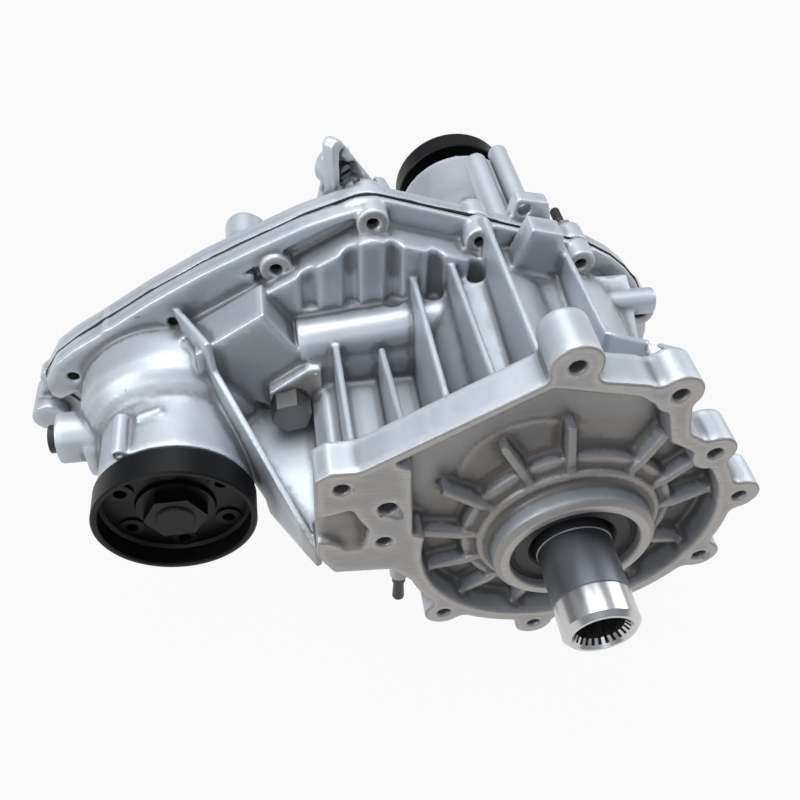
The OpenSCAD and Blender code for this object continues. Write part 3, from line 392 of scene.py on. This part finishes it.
MATERIALS = {
    "cast_aluminium": cast_material(),
    "black_sealant": plain_material("black_sealant", (0.010, 0.010, 0.011), 0.42, grain=140.0, bump=0.35),
    "zinc_steel": screw_material(),
    "bearing_steel": steel_material("bearing_steel", (0.62, 0.62, 0.63), 0.22),
    "machined_steel": shaft_material(),
    "gear_steel": plain_material("gear_steel", (0.30, 0.30, 0.31), 0.35, metal=1.0),
    "friction_lining": plain_material("friction_lining", (0.22, 0.14, 0.08), 0.8, bump=0.4),
    "seal_rubber": plain_material("seal_rubber", (0.016, 0.014, 0.013), 0.50),
    "black_paint": plain_material("black_paint", (0.002, 0.002, 0.0022), 0.40, grain=70.0, bump=0.06,
                                  shine=0.22),
    "dark_steel": plain_material("dark_steel", (0.06, 0.058, 0.055), 0.42, metal=0.9),
    "plug_steel": plain_material("plug_steel", (0.27, 0.275, 0.27), 0.36, metal=1.0, grain=180.0, bump=0.15),
    "black_plastic": plain_material("black_plastic", (0.014, 0.014, 0.014), 0.5),
    "copper": plain_material("copper", (0.16, 0.14, 0.12), 0.45, metal=0.9),
    "bronze": plain_material("bronze", (0.50, 0.36, 0.16), 0.45, metal=1.0),
    "magnet": plain_material("magnet", (0.12, 0.12, 0.13), 0.5, metal=0.6),
}


def dress(piece, name):
    piece.data.materials.clear()
    piece.data.materials.append(MATERIALS[name])


for part in frame["record"]["subparts"]:
    dress(nodes[part["node"]], part["material_slot"])
for piece in (front_skin, rear_skin):
    dress(piece, "cast_aluminium")
dress(nodes["fill_plug"], "plug_steel")
for name in ("front_output_shaft", "front_shaft_nut"):
    dress(nodes[name], "black_paint")


# Sealant squeezed out along the joint, thicker in places, in metres
BEAD_STEP = 0.0016
BEAD_SIDES = 10
BEAD_SUNK = 0.0002
BEAD_SEED = 7


def outline(points):
    """The convex outline of flat points, anticlockwise."""
    ordered = sorted(set(map(tuple, np.round(points, 5).tolist())))

    def half(run):
        kept = []
        for p in run:
            while len(kept) > 1 and ((kept[-1][0] - kept[-2][0]) * (p[1] - kept[-2][1])
                                     - (kept[-1][1] - kept[-2][1]) * (p[0] - kept[-2][0])) <= 0:
                kept.pop()
            kept.append(p)
        return kept[:-1]

    return half(ordered) + half(ordered[::-1])


def seam_bead():
    points, _ = mesh_arrays(nodes["seam_sealant"])
    middle = float(points[:, 1].mean())
    ring = np.array(outline(np.vstack([points[:, (0, 2)], np.array(LOBE) / MM])))
    closed = np.vstack([ring, ring[:1]])
    lengths = np.concatenate([[0.0], np.cumsum(np.linalg.norm(np.diff(closed, axis=0), axis=1))])
    count = int(lengths[-1] / BEAD_STEP)
    places = np.linspace(0.0, lengths[-1], count, endpoint=False)
    path = np.stack([np.interp(places, lengths, closed[:, k]) for k in (0, 1)], axis=1)
    along = np.roll(path, -3, axis=0) - np.roll(path, 3, axis=0)
    out = np.stack([along[:, 1], -along[:, 0]], axis=1)
    out /= np.linalg.norm(out, axis=1)[:, None]
    random = np.random.default_rng(BEAD_SEED)

    def wander(step):
        """A smooth random run from 0 to 1, with a new value every few steps."""
        coarse = random.random(count // step + 1)
        t = np.arange(count) / step
        low = t.astype(int) % len(coarse)
        ease = t - np.floor(t)
        ease = ease * ease * (3 - 2 * ease)
        return coarse[low] * (1 - ease) + coarse[(low + 1) % len(coarse)] * ease

    swell = np.clip(wander(6) * 0.6 + wander(17) * 0.9 - 0.75, 0.0, 1.0)
    proud = 0.0003 + 0.0014 * swell
    wide = 0.0006 + 0.0011 * swell
    shift = (wander(11) - 0.5) * 0.0007
    verts = []
    faces = []
    for k in range(count):
        this, following = k * BEAD_SIDES, (k + 1) % count * BEAD_SIDES
        for j in range(BEAD_SIDES):
            a = 2 * math.pi * j / BEAD_SIDES
            after = (j + 1) % BEAD_SIDES
            spot = path[k] + out[k] * (proud[k] * math.cos(a) - BEAD_SUNK)
            verts.append((spot[0], middle + shift[k] + wide[k] * math.sin(a), spot[1]))
            faces.append((this + j, this + after, following + after, following + j))
    made = mesh_object("seam_bead", verts, faces)
    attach(made, "housing")
    dress(made, "black_sealant")


seam_bead()


# Camera at the photograph's viewing angle: angles in degrees, focal length in pixels, eye in metres
AZ, EL, ROLL, FOCAL = -9.79, 47.058, 1.593, 848.2
EYE = Vector((-0.1551, -0.2730, 0.4356))
PICTURE = 800.0
SENSOR = 36.0
az, el, roll = (math.radians(a) for a in (AZ, EL, ROLL))
forward = Vector((-math.sin(az) * math.cos(el), math.cos(az) * math.cos(el), -math.sin(el)))
level = Vector((math.cos(az), math.sin(az), 0.0))
down = forward.cross(level)
right = math.cos(roll) * level - math.sin(roll) * down
below = math.sin(roll) * level + math.cos(roll) * down
camera_data = bpy.data.cameras.new("camera")
camera_data.lens = SENSOR * FOCAL / PICTURE
camera_data.sensor_width = SENSOR
camera_data.clip_start = 0.01
camera = bpy.data.objects.new("camera", camera_data)
camera.matrix_world = Matrix.Translation(EYE) @ Matrix((right, -below, -forward)).transposed().to_4x4()
bpy.context.scene.collection.objects.link(camera)
bpy.context.scene.camera = camera


# Floor, world and lamps
FLOOR_REACH = 4.0
FLOOR_SHADE = 0.10
FLOOR_GLOW = 0.94


def pale_material(name, shade, glow):
    """Lit by the lamps, with a glow that only camera, glossy and transmission rays see."""
    m = Nodes(name)
    m.shader.inputs["Base Color"].default_value = (shade, shade, shade, 1.0)
    m.shader.inputs["Roughness"].default_value = 0.9
    path = m.add("ShaderNodeLightPath")
    seen = m.math("MAXIMUM", path.outputs["Is Camera Ray"],
                  m.math("MAXIMUM", path.outputs["Is Glossy Ray"], path.outputs["Is Transmission Ray"]))
    light = m.add("ShaderNodeEmission")
    light.inputs["Color"].default_value = (*WHITE, 1.0)
    mix = m.add("ShaderNodeMixShader")
    m.link(m.math("MULTIPLY", seen, glow), mix.inputs[0])
    m.link(m.shader.outputs[0], mix.inputs[1])
    m.link(light.outputs[0], mix.inputs[2])
    m.link(mix.outputs[0], m.tree.nodes["Material Output"].inputs["Surface"])
    return m.material


corners = [(x * FLOOR_REACH, y * FLOOR_REACH, FLOOR_Z) for x, y in ((-1, -1), (1, -1), (1, 1), (-1, 1))]
floor = mesh_object("floor", corners, [(0, 1, 2, 3)], smooth=False)
floor.data.materials.append(pale_material("floor_white", FLOOR_SHADE, FLOOR_GLOW))

# The world is dark low down and pale overhead, and white to the camera
world = bpy.data.worlds.new("studio")
bpy.context.scene.world = world
world.use_nodes = True
sky = world.node_tree
background = sky.nodes["Background"]
gradient = sky.nodes.new("ShaderNodeTexGradient")
coords = sky.nodes.new("ShaderNodeTexCoord")
turn = sky.nodes.new("ShaderNodeMapping")
turn.inputs["Rotation"].default_value = (0.0, math.radians(90), 0.0)
turn.inputs["Location"].default_value = (0.5, 0.0, 0.0)
turn.inputs["Scale"].default_value = (0.5, 0.5, 0.5)
shades = sky.nodes.new("ShaderNodeValToRGB")
shades.color_ramp.elements[0].position = 0.35
shades.color_ramp.elements[0].color = (0.07, 0.067, 0.064, 1.0)
shades.color_ramp.elements[1].position = 0.95
shades.color_ramp.elements[1].color = (0.62, 0.66, 0.72, 1.0)
path = sky.nodes.new("ShaderNodeLightPath")
choose = sky.nodes.new("ShaderNodeMix")
choose.data_type = "RGBA"
sky.links.new(coords.outputs["Generated"], turn.inputs["Vector"])
sky.links.new(turn.outputs["Vector"], gradient.inputs["Vector"])
sky.links.new(gradient.outputs["Fac"], shades.inputs["Fac"])
sky.links.new(path.outputs["Is Camera Ray"], choose.inputs["Factor"])
sky.links.new(shades.outputs["Color"], choose.inputs[6])
choose.inputs[7].default_value = (*WHITE, 1.0)
sky.links.new(choose.outputs[2], background.inputs["Color"])
background.inputs["Strength"].default_value = 1.0


def lamp(name, place, aim, size, power, colour=WHITE):
    data = bpy.data.lights.new(name, "AREA")
    data.shape = "RECTANGLE"
    data.size, data.size_y = size
    data.energy = power
    data.color = colour
    made = bpy.data.objects.new(name, data)
    made.location = place
    made.rotation_mode = "QUATERNION"
    made.rotation_quaternion = (Vector(aim) - Vector(place)).to_track_quat("-Z", "Y")
    bpy.context.scene.collection.objects.link(made)


lamp("overhead", (-0.25, 0.45, 1.5), (-0.1, 0.15, 0.0), (1.1, 0.9), 17.0, (0.95, 0.98, 1.0))
lamp("left_side", (-1.4, -0.25, 0.9), (-0.1, 0.1, 0.0), (0.6, 0.9), 10.0, (0.94, 0.97, 1.0))
lamp("front_high", (-0.5, -1.3, 1.15), (-0.1, 0.1, 0.0), (1.0, 0.5), 3.5, (0.96, 0.98, 1.0))
lamp("right_edge", (1.3, 0.55, 0.8), (0.0, 0.1, 0.0), (0.5, 1.0), 6.0)

bpy.context.scene.view_settings.view_transform = "Standard"
